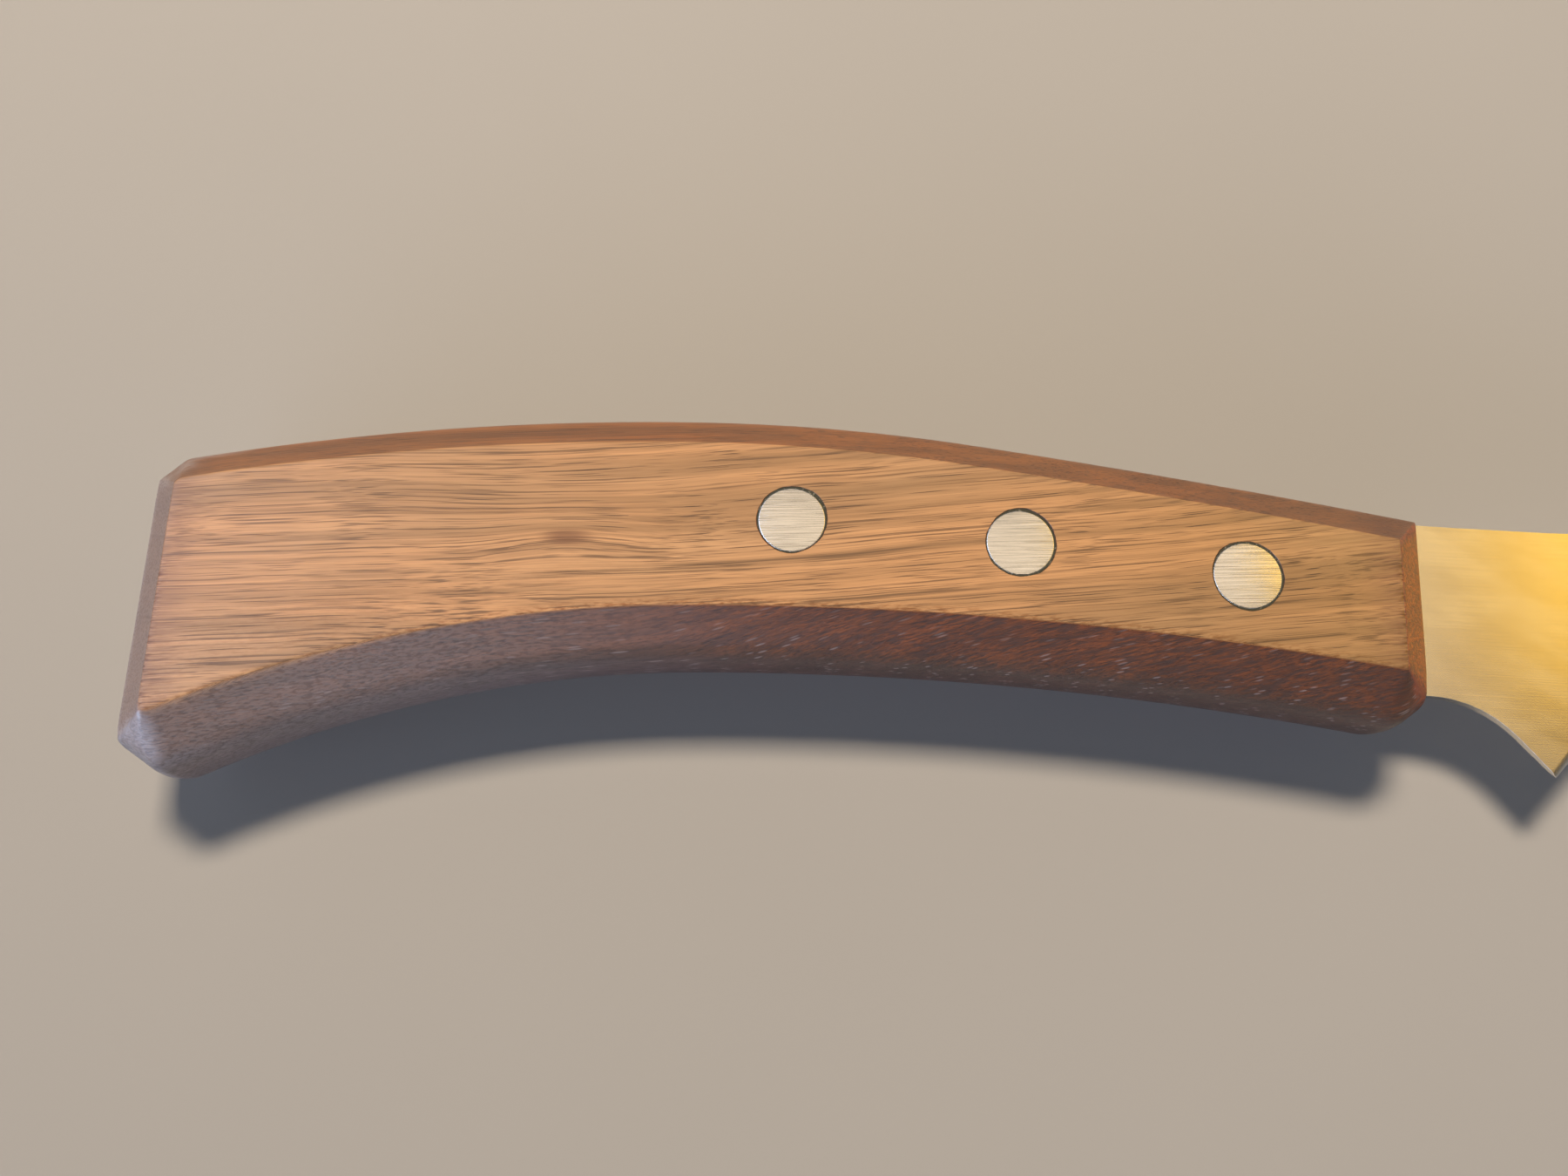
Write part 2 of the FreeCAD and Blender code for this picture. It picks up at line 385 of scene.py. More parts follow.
def back_circles(start=(-76.1, 19.3)):
    """The back's tangent arcs as (centre x, centre y, radius).

    Each centre lies on the line from the last centre to the joint, so the arcs meet in line.
    """
    radius = BACK_ARCS[0][0]
    x, y = start[0], start[1] - radius
    circles = [(x, y, radius)]
    for (_, joint), (wider, _) in zip(BACK_ARCS, BACK_ARCS[1:]):
        joint_y = y + math.sqrt(radius**2 - (joint - x)**2)
        x, y = joint + (x - joint) * wider / radius, joint_y + (y - joint_y) * wider / radius
        radius = wider
        circles.append((x, y, radius))
    return np.array(circles)


BACK_CIRCLES = back_circles()


def back_depth(x, y):
    """How far inside the back a point is: the radius of its arc, less its distance from the centre."""
    which = np.digitize(x, [end for _, end in BACK_ARCS[:-1]])
    circle = BACK_CIRCLES[which]
    return circle[..., 2] - np.hypot(x - circle[..., 0], y - circle[..., 1])


def belly_depth(x, y):
    """How far inside the hollow belly: the distance from its arc's centre, less the radius."""
    radius = np.where(x < BELLY_APEX[0], *BELLY_RADII)
    return np.hypot(x - BELLY_APEX[0], y - BELLY_APEX[1] + radius) - radius


def cut_depth(through_x, through_y, degrees):
    """How far inside a straight cut, from a point on it and its outward direction."""
    turn = math.radians(degrees)
    return lambda x, y: -(x - through_x) * math.cos(turn) - (y - through_y) * math.sin(turn)


# going round with the material on the left, as seen from above
SIDES = [
    back_depth,
    cut_depth(-124.6, 13.3, 132.0),
    cut_depth(-125.4, 0.0, 180.0),
    cut_depth(-122.9, -15.6, 236.0),
    belly_depth,
    cut_depth(-2.9, -11.6, 305.0),
    cut_depth(0.0, 0.0, -math.degrees(math.atan(0.0887))),
]
# about where each side meets the next one, as a start for finding the corner exactly
CORNERS = [
    (-120.5, 17.0), (-125.4, 12.0), (-125.4, -14.0), (-120.0, -17.5),
    (-6.0, -13.0), (-1.0, -9.5), (0.8, 9.0),
]
print("shift from the drawing, mm:", np.round(SHIFT, 3))


# %% [markdown]
# ## Rounding the edges
# Sandpaper and hands round an edge most where they reach it most. The shape is described by
# how far a place stands outside each face, and two faces that are both near are joined as
# the two short sides of a right triangle are, by squares, which gives a true round. A
# modifier could round the edges too, but its width can't follow the belly so easily.

# %% Rounding
def slope_of(function, place, step=1e-4):
    """The gradient of a function of a place, by central differences along each axis."""
    parts = []
    for axis in range(place.shape[-1]):
        nudge = np.zeros(place.shape[-1])
        nudge[axis] = step
        parts.append((function(place + nudge) - function(place - nudge)) / (2 * step))
    return np.stack(parts, axis=-1)


def smooth_step(value, start, stop):
    """0 at start, 1 at stop, and an even S between."""
    part = np.clip((value - start) / (stop - start), 0.0, 1.0)
    return part * part * (3 - 2 * part)


def overhangs(place):
    """How far a place stands outside each face of the handle: two flats, then three per side."""
    x, y, z = np.moveaxis(place, -1, 0)
    depth = np.stack([side(x, y) for side in SIDES], axis=-1)
    z = z[..., None]
    wall = CROWN * ((z - TOP / 2) / (TOP / 2 - BEVEL))**2 - depth
    upper = (z - depth - TOP + FLAT_INSET) / math.sqrt(2)
    lower = (FLAT_INSET - depth - z) / math.sqrt(2)
    return np.concatenate([z - TOP, -z, wall, upper, lower], axis=-1)


def softness(place):
    """How widely the edges are rounded here, in mm: most along the belly, least at the flats."""
    x, y, z = np.moveaxis(place, -1, 0)
    belly = smooth_step(belly_depth(x, y), 7.0, 2.0)
    at_flat = smooth_step(abs(z - TOP / 2), 5.4, 7.4)
    shoulder = 0.22 + 0.60 * belly
    rim = 0.11 + 0.80 * belly * smooth_step(x, -86.0, -120.0)
    return shoulder + (rim - shoulder) * at_flat


def rounded(place):
    """Zero on the rounded skin: faces nearer than the softness add up as squares at an edge."""
    gap = overhangs(place)
    soft = softness(place)
    near = np.maximum(gap + soft[..., None], 0.0)
    return np.minimum(gap.max(axis=-1), -soft) + np.sqrt((near**2).sum(axis=-1))


def onto_skin(place):
    """Moves places along the slope until they are on the rounded skin."""
    for _ in range(6):
        slope = slope_of(rounded, place)
        place = place - (rounded(place) / (slope**2).sum(axis=-1))[..., None] * slope
    return place


inside = np.array([[-60.0, 5.0, 15.0]])
print("the flat is", round(float(-overhangs(inside)[0, 0]), 2), "mm above z = 15")


# %% [markdown]
# ## The handle's grid
# A skin needs points, and they should be close together where it turns. The grid has one
# column for each place round the outline and one row for each height on the section. It is
# made on the sharp shape first, then each point slides along the slope until it is on the
# rounded one. Marching cubes could find the skin without a grid, but its edges wobble.

# %% The handle's grid
NEAR = np.array([0.0, 0.12, 0.26, 0.45, 0.7, 1.05])     # close rows beside a turn, in mm


def section_rows():
    """The section from the lower flat's edge up to the upper one's, as (inset, height)."""
    bevel_length = BEVEL * math.sqrt(2)
    along = np.concatenate([NEAR, [1.7, 2.5, 3.3], bevel_length - NEAR[:0:-1] * 1.3])
    bevel = [(FLAT_INSET - step / math.sqrt(2), TOP - step / math.sqrt(2)) for step in along]
    down = np.array([0.0, 0.2, 0.45, 0.8, 1.2, 1.7, 2.4, 3.2, 4.1])
    wall_top = TOP - BEVEL
    half = TOP / 2 - BEVEL
    wall = [(CROWN * ((wall_top - step - TOP / 2) / half)**2, wall_top - step) for step in down]
    upper = np.array(bevel + wall)
    lower = upper[:-1] * [1, -1] + [0, TOP]
    return np.concatenate([lower, upper[::-1]])


def side_slope(side, place):
    """Which way a side's depth grows, in plan."""
    return slope_of(lambda p: side(p[..., 0], p[..., 1]), place)


def corner_line(first, second, guess, inset):
    """Where two sides meet at each inset, by Newton's method on both depths at once."""
    place = np.repeat(np.array([guess]), len(inset), axis=0)
    for _ in range(8):
        gap = np.stack([SIDES[k](*place.T) - inset for k in (first, second)], axis=-1)
        slopes = [side_slope(SIDES[k], place) for k in (first, second)]
        place = place - np.linalg.solve(np.stack(slopes, axis=1), gap[..., None])[..., 0]
    return place


def handle_grid():
    """Points by section row and by place round the outline, on the sharp-edged shape."""
    rows = section_rows()
    inset = rows[:, 0]
    count = len(SIDES)
    corners = [corner_line(k, (k + 1) % count, CORNERS[k], inset) for k in range(count)]
    short = np.array([0.0, 0.04, 0.09, 0.16, 0.28, 0.5, 0.72, 0.84, 0.91, 0.96])
    tight = np.array([0.0, 0.15, 0.32, 0.55, 0.9, 1.4, 2.2]) / 118.0
    long = np.concatenate([tight, np.linspace(3.2 / 118.0, 1 - 3.2 / 118.0, 84), 1 - tight[:0:-1]])
    stretches = []
    for k, side in enumerate(SIDES):
        part = (long if side in (back_depth, belly_depth) else short)[None, :, None]
        start, stop = corners[k - 1][:, None], corners[k][:, None]
        place = start + (stop - start) * part
        for _ in range(4):
            gap = side(place[..., 0], place[..., 1]) - inset[:, None]
            place = place - gap[..., None] * side_slope(side, place)
        stretches.append(place)
    plan = np.concatenate(stretches, axis=1)
    height = np.broadcast_to(rows[:, 1, None, None], (*plan.shape[:2], 1))
    return np.concatenate([plan, height], axis=-1)


def flat_rings(rim):
    """Rings on a flat, just inside its rim: each point steps towards the handle's middle line."""
    x = np.clip(rim[:, 0], -112.0, -12.0)
    y = np.zeros_like(x)
    for _ in range(5):
        y = y + (back_depth(x, y) - belly_depth(x, y)) / 2
    inward = np.stack([x, y], axis=-1) - rim[:, :2]
    inward /= np.linalg.norm(inward, axis=-1, keepdims=True)
    inward = np.column_stack([inward, np.zeros(len(rim))])
    return rim + NEAR[1:, None, None] * inward


def handle_skin():
    """The closed skin: the grid moved onto the rounded shape, with a flat cap at each end."""
    sharp = handle_grid()
    lower, upper = flat_rings(sharp[0])[::-1], flat_rings(sharp[-1])
    grid = onto_skin(np.concatenate([lower, sharp, upper]))
    rows, columns = grid.shape[:2]
    edge_gap = np.sort(overhangs(grid), axis=-1)[..., -2]
    faces = grid_faces(rows, columns)
    faces.append(list(range(columns))[::-1])
    faces.append(list(range((rows - 1) * columns, rows * columns)))
    points = grid.reshape(-1, 3) + [*SHIFT, 0.0]
    piece = new_piece("handle_wood", points, faces)
    edge = piece.data.attributes.new("edge", "FLOAT", "POINT")
    edge.data.foreach_set("value", np.clip(1 + edge_gap.ravel() / 0.60, 0.0, 1.0))
    return piece


handle = handle_skin()
print("handle:", len(handle.data.vertices), "points,", len(handle.data.polygons), "faces")


# %% [markdown]
# ## Holes for the tang and the rivets
# The maker mills a slot for the tang, and drills each rivet hole with a wider well for the
# head at both faces. A drill tears the fibres a little, so a well is never a perfect circle,
# and a dark line of uneven width shows round the head. Boolean modifiers cut the same
# closed shapes out of the skin. They are applied at once, because the cutters go away.

# %% Cutting
HEAD_RADIUS = 3.2
HEAD_HEIGHT = 1.7
WELL_GAP = 0.13             # between a head and its well, before the edge is torn
FLARE = 0.08                # how far a well's mouth opens out
HOLE_RADIUS = 2.075
SLOT_HALF_WIDTH = 5.55
SLOT_LEVELS = (6.95, 9.05)
SLOT_PAST_RIVET = 2.95      # from the rear rivet back to the middle of the slot's round end
RIVETS = ("front", "middle", "rear")


def rivet_place(which):
    """A rivet's centre in millimetres, from its packed box."""
    low, high = (np.array(corner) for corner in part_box(f"rivet_{which}_male"))
    return ((low + high) / 2)[:2] / MM


def torn(seed, depth, steps=96):
    """An uneven edge: waves round the hole, each with its own size and phase from the seed."""
    draw = np.random.default_rng(seed)
    angle = np.linspace(0.0, 2 * math.pi, steps, endpoint=False)
    waves = np.array([1, 2, 3, 5, 8, 13, 21])[:, None]
    size = draw.uniform(0.4, 1.0, waves.shape) / waves**0.6
    phase = draw.uniform(0.0, 2 * math.pi, waves.shape)
    return depth * (size * np.sin(waves * angle + phase)).sum(axis=0)


def well_cutter(which, seed):
    """A rivet's hole through the handle, with a well for the head at each face."""
    wide = HEAD_RADIUS + WELL_GAP
    mouth = wide + FLARE
    profile = [
        (0.0, -1.0), (mouth, -1.0), (mouth, -0.02), (wide, FLARE), (wide, HEAD_HEIGHT),
        (HOLE_RADIUS, HEAD_HEIGHT), (HOLE_RADIUS, TOP - HEAD_HEIGHT),
        (wide, TOP - HEAD_HEIGHT), (wide, TOP - FLARE), (mouth, TOP + 0.02), (mouth, TOP + 1.0),
        (0.0, TOP + 1.0),
    ]
    return turned("cutter_" + which, rivet_place(which), profile, swell=torn(seed, 0.075))


def slot_cutter():
    """The tang's slot: a straight strip along the rivets, with a round rear end."""
    front, rear = rivet_place("front"), rivet_place("rear")
    along = (front - rear) / np.linalg.norm(front - rear)
    across = np.array([-along[1], along[0]])
    half, stop = SLOT_HALF_WIDTH, rear - along * SLOT_PAST_RIVET
    turn = np.linspace(math.pi / 2, 3 * math.pi / 2, 17)[:, None]
    end = stop + half * (np.cos(turn) * along + np.sin(turn) * across)
    mouth = front + along * 30.0
    outline = np.vstack([end, mouth - across * half, mouth + across * half])
    count = len(outline)
    levels = [np.column_stack([outline, np.full(count, z)]) for z in SLOT_LEVELS]
    faces = grid_faces(2, count) + [list(range(count))[::-1], list(range(count, 2 * count))]
    return new_piece("cutter_slot", np.vstack(levels), faces)


def cut_out(piece, cutters):
    """Takes closed shapes out of a piece, applies the result, and removes the cutters."""
    for cutter in cutters:
        cut = piece.modifiers.new("cut", "BOOLEAN")
        cut.operation = "DIFFERENCE"
        cut.solver = "EXACT"
        cut.object = cutter
    view = bpy.context.evaluated_depsgraph_get()
    view.update()
    mesh = bpy.data.meshes.new_from_object(piece.evaluated_get(view))
    piece.modifiers.clear()
    piece.data = mesh
    for cutter in cutters:
        bpy.data.objects.remove(cutter)
    mesh.set_sharp_from_angle(angle=math.radians(40.0))


cut_out(handle, [slot_cutter()] + [well_cutter(which, seed) for seed, which in enumerate(RIVETS, 3)])
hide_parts("handle")
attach(handle, "root")
print("after cutting:", len(handle.data.polygons), "faces")


# %% [markdown]
# ## Rivets
# Each rivet is two turned parts pressed together through the tang: one with a tube, one with
# a pin that fills it. Both heads were sanded flush with the wood. They could be the packed
# solids, but those end in perfectly sharp rims. A turned profile gives each head the tiny
# worn rim that catches a line of light, and lets its top dish by a hundredth of a millimetre.

# %% Turn the rivets
PIN_RADIUS = 1.2
PIN_TIP_RADIUS = 0.9
PIN_LENGTH = 9.0
TUBE_RADIUS = 2.0
TUBE_LENGTH = 11.0


def rivet_head_top(face):
    """The head's profile from under its rim to its middle, for a face at this height."""
    inward = 1 if face > TOP / 2 else -1
    return [
        (HEAD_RADIUS, face - inward * 0.10),
        (HEAD_RADIUS - 0.015, face - inward * 0.05),
        (HEAD_RADIUS - 0.05, face - inward * 0.015),
        (HEAD_RADIUS - 0.12, face),
        (0.0, face - inward * 0.01),
    ]


def pin_half(which):
    """The upper half: a pin with a chamfered end, then the head."""
    under = TOP - HEAD_HEIGHT
    tip = under - PIN_LENGTH
    chamfer = PIN_RADIUS - PIN_TIP_RADIUS
    profile = [
        (0.0, tip), (PIN_TIP_RADIUS, tip), (PIN_RADIUS, tip + chamfer),
        (PIN_RADIUS, under), (HEAD_RADIUS, under),
    ]
    return turned(f"rivet_{which}_pin", rivet_place(which), profile + rivet_head_top(TOP))


def tube_half(which):
    """The lower half: the head, then a tube open at its top."""
    over = HEAD_HEIGHT
    end = over + TUBE_LENGTH
    tube = [
        (HEAD_RADIUS, over), (TUBE_RADIUS, over), (TUBE_RADIUS, end),
        (PIN_RADIUS, end), (PIN_RADIUS, over), (0.0, over),
    ]
    return turned(f"rivet_{which}_tube", rivet_place(which), rivet_head_top(0.0)[::-1] + tube)


rivets = {}
for which in RIVETS:
    for half, node in ((pin_half, "male"), (tube_half, "female")):
        piece = half(which)
        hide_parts(f"rivet_{which}_{node}")
        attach(piece, "root")
        rivets[piece.name] = piece
print("rivet pieces:", sorted(rivets))


# %% [markdown]
# ## Painted shade in the wells
# The narrow gap between a rivet head and the wood is painted dark: a near-black ring sits in
# it just below the face, lower in some spots than in others. It could be a dark stripe in
# the wood's material, but a real low ring shades itself. A small four-sided loop goes round
# each head, and its top rises and falls with the angle.

# %% Gap rings
# a near-black ring just below each face paints the shade in the gap round the head
def gap_ring(which, face, seed):
    """A loop of (radius, height) carried round a head, its outer face sunk by an uneven amount."""
    inward = 1 if face > TOP / 2 else -1
    steps = 96
    angle = np.linspace(0.0, 2 * math.pi, steps, endpoint=False)
    sunk = 0.08 + torn(seed, 0.025)
    inner, outer = HEAD_RADIUS - 0.02, HEAD_RADIUS + 0.5
    radius = np.array([inner, outer, outer, inner])[:, None]
    height = np.stack([
        np.full(steps, face - inward * 1.2),
        np.full(steps, face - inward * 1.2),
        face - inward * sunk,
        face - inward * (sunk - 0.04),
    ])
    if inward < 0:
        radius, height = radius[::-1], height[::-1]
    centre = rivet_place(which)
    points = np.stack([
        centre[0] + radius * np.cos(angle),
        centre[1] + radius * np.sin(angle),
        height,
    ], axis=-1).reshape(-1, 3)
    side = "upper" if inward > 0 else "lower"
    return new_piece(f"gap_{which}_{side}", points, grid_faces(4, steps, round_rows=True))


gaps = []
for seed, which in enumerate(RIVETS, 20):
    for face in (TOP, 0.0):
        ring = gap_ring(which, face, seed + int(face))
        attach(ring, "root")
        gaps.append(ring)
print("gap rings:", [ring.name for ring in gaps])


# %% [markdown]
# ## The blade
# The blade was stamped from sheet steel, ground flat to both sides, then sharpened. The
# packed blade already has each of those planes. What it lacks is the slight rounding that
# grinding and use leave on every arris. A copy of its mesh is merged into one skin, a Bevel
# modifier rounds the arrises, and a Weighted Normal modifier keeps the wide planes flat.

# %% Blade
def softened(node_name, piece_name, width, segments, angle):
    """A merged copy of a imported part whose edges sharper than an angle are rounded."""
    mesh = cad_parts[node_name].data.copy()
    piece = bpy.data.objects.new(piece_name, mesh)
    bpy.context.scene.collection.objects.link(piece)
    work = bmesh.new()
    work.from_mesh(mesh)
    bmesh.ops.remove_doubles(work, verts=work.verts, dist=0.002 * MM)
    bmesh.ops.dissolve_limit(work, angle_limit=math.radians(0.5), verts=work.verts, edges=work.edges)
    work.to_mesh(mesh)
    work.free()
    mesh.polygons.foreach_set("use_smooth", np.ones(len(mesh.polygons), dtype=bool))
    round_over = piece.modifiers.new("round_over", "BEVEL")
    round_over.width = width * MM
    round_over.segments = segments
    round_over.limit_method = "ANGLE"
    round_over.angle_limit = math.radians(angle)
    flat_first = piece.modifiers.new("flat_first", "WEIGHTED_NORMAL")
    flat_first.mode = "FACE_AREA"
    flat_first.weight = 100
    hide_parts(node_name)
    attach(piece, "root")
    return piece


blade = softened("blade", "blade_steel", 0.10, 3, 20.0)
print("blade faces before rounding:", len(blade.data.polygons))


# %% [markdown]
# ## Marks that are long one way
# Wood fibres, pores, sanding lines and grinding scratches are one family: all are long one
# way and thin across. So two node groups serve every material. `streaks` is noise drawn out
# to a length and a width in millimetres, and `dashes` scatters short separate marks, of
# which only a share is kept. Both read coordinates through the solid, so a line that
# crosses an edge goes on down the next face.

# %% Groups for streaks and dashes
def drawn_out(group, source):
    """Coordinates turned about Z, and counted in lengths along and widths across."""
    turned_place = add(group, "ShaderNodeVectorRotate", {
        "Vector": source["Place"], "Angle": source["Turn"],
    })
    turned_place.rotation_type = "Z_AXIS"
    along = calc(group, "DIVIDE", 1000.0, source["Length"])
    across = calc(group, "DIVIDE", 1000.0, source["Width"])
    scale = add(group, "ShaderNodeCombineXYZ", {0: along, 1: across, 2: across}).outputs[0]
    counted = calc_vector(group, "MULTIPLY", turned_place.outputs[0], scale)
    shift = add(group, "ShaderNodeCombineXYZ", {axis: source["Shift"] for axis in range(3)})
    return calc_vector(group, "ADD", counted, shift.outputs[0])


def make_streaks():
    group, source, sink = new_group("streaks", {
        "Place": None, "Length": 20.0, "Width": 1.0, "Turn": 0.0, "Shift": 0.0, "Low": 0.4, "High": 0.6,
    }, {"Mask": "Float"})
    noise = add(group, "ShaderNodeTexNoise", {
        "Vector": drawn_out(group, source), "Scale": 1.0, "Detail": 2.0, "Roughness": 0.55,
    })
    group.links.new(ramp(group, noise.outputs[0], source["Low"], source["High"]), sink["Mask"])
    return group


def make_dashes():
    group, source, sink = new_group("dashes", {
        "Place": None, "Length": 4.0, "Width": 0.3, "Turn": 0.0, "Shift": 0.0,
        "Size": 0.3, "Share": 0.4,
    }, {"Mask": "Float"})
    cells = add(group, "ShaderNodeTexVoronoi", {"Vector": drawn_out(group, source), "Scale": 1.0})
    half = calc(group, "MULTIPLY", source["Size"], 0.45)
    mark = ramp(group, cells.outputs["Distance"], source["Size"], half)
    draw = add(group, "ShaderNodeSeparateColor", {0: cells.outputs["Color"]}).outputs[0]
    kept = calc(group, "SUBTRACT", 1.0, source["Share"])
    depth = ramp(group, draw, kept, calc(group, "ADD", kept, 0.25))
    group.links.new(calc(group, "MULTIPLY", mark, depth), sink["Mask"])
    return group


STREAKS = make_streaks()
DASHES = make_dashes()
print("shared groups:", STREAKS.name, DASHES.name)


# %% [markdown]
# ## Walnut
# Oiled walnut shows soft bands a few millimetres wide, fine dark lines that follow them, and
# short open pores. All of them climb a little towards the blade. Slow waves bend them
# together, and a small knot pushes them aside.
# The bevels are darker than the flat, because they cut across the fibres and drink
# more oil, and the two ends, which are end grain, drink the most. The walls are darker too,
# and a painted cool sheen is multiplied into them. Along the lower bevel the pores slant,
# and some catch the light.

# %% Fibre directions
KNOT = (-95.2, 3.9)             # the knot's middle on the upper flat, in mm
BUTT = -0.137                   # the handle's rear end, in metres
PIVOT = -0.082                  # where the slanted pores of the belly turn, in metres
BUTT_RISE = 0.028               # how steeply the fibres climb at the butt
MORE_RISE = 0.33                # half of what each metre towards the blade adds


def make_fibres():
    """Coordinates that follow the fibres: slow waves, and a swerve round the knot."""
    group, source, sink = new_group(
        "fibres", {"Place": None, "Lean": 0.0}, {"Along Fibres": "Vector", "Knot": "Float"})
    place = source["Place"]

    def wander(scale, reach):
        """Noise of a size, in turns per metre, that pushes by up to half the reach, in metres."""
        spot = calc_vector(group, "MULTIPLY", place, scale)
        noise = add(group, "ShaderNodeTexNoise", {"Vector": spot, "Scale": 1.0, "Detail": 1.0})
        centred = calc_vector(group, "SUBTRACT", noise.outputs["Color"], (0.5, 0.5, 0.5))
        return calc_vector(group, "MULTIPLY", centred, (0.0, reach, reach))

    sway = wander((16.0, 60.0, 60.0), 0.0042)
    ripple = wander((60.0, 220.0, 220.0), 0.0006)
    split = add(group, "ShaderNodeSeparateXYZ", {0: place}).outputs

    # round the knot, as an oval longer along the fibres
    from_knot_x = calc(group, "SUBTRACT", split[0], KNOT[0] * MM)
    from_knot_y = calc(group, "SUBTRACT", split[1], KNOT[1] * MM)
    oval = add(group, "ShaderNodeCombineXYZ", {
        0: calc(group, "MULTIPLY", from_knot_x, 90.0),
        1: calc(group, "MULTIPLY", from_knot_y, 260.0),
    }).outputs[0]
    away = add(group, "ShaderNodeVectorMath", {0: oval}, operation="LENGTH").outputs["Value"]
    swerve = ramp(group, away, 1.0, 0.0, 0.0, 0.0009)
    heart = calc(group, "MULTIPLY", away, 3.4)
    group.links.new(ramp(group, heart, 1.0, 0.2), sink["Knot"])

    # the climb towards the blade, and the slant of the belly's pores
    from_butt = calc(group, "SUBTRACT", split[0], BUTT)
    steepness = calc(group, "ADD", BUTT_RISE, calc(group, "MULTIPLY", from_butt, MORE_RISE))
    rise = calc(group, "MULTIPLY", from_butt, steepness)
    leaning = calc(group, "MULTIPLY", calc(group, "SUBTRACT", split[0], PIVOT), source["Lean"])
    moved = calc(group, "ADD", swerve, calc(group, "ADD", leaning, rise))
    push = add(group, "ShaderNodeCombineXYZ", {1: moved, 2: leaning}).outputs[0]
    waved = calc_vector(group, "ADD", place, calc_vector(group, "ADD", sway, ripple))
    group.links.new(calc_vector(group, "SUBTRACT", waved, push), sink["Along Fibres"])
    return group


FIBRES = make_fibres()
print("fibres gives:", [item.name for item in FIBRES.interface.items_tree if item.in_out == "OUTPUT"])
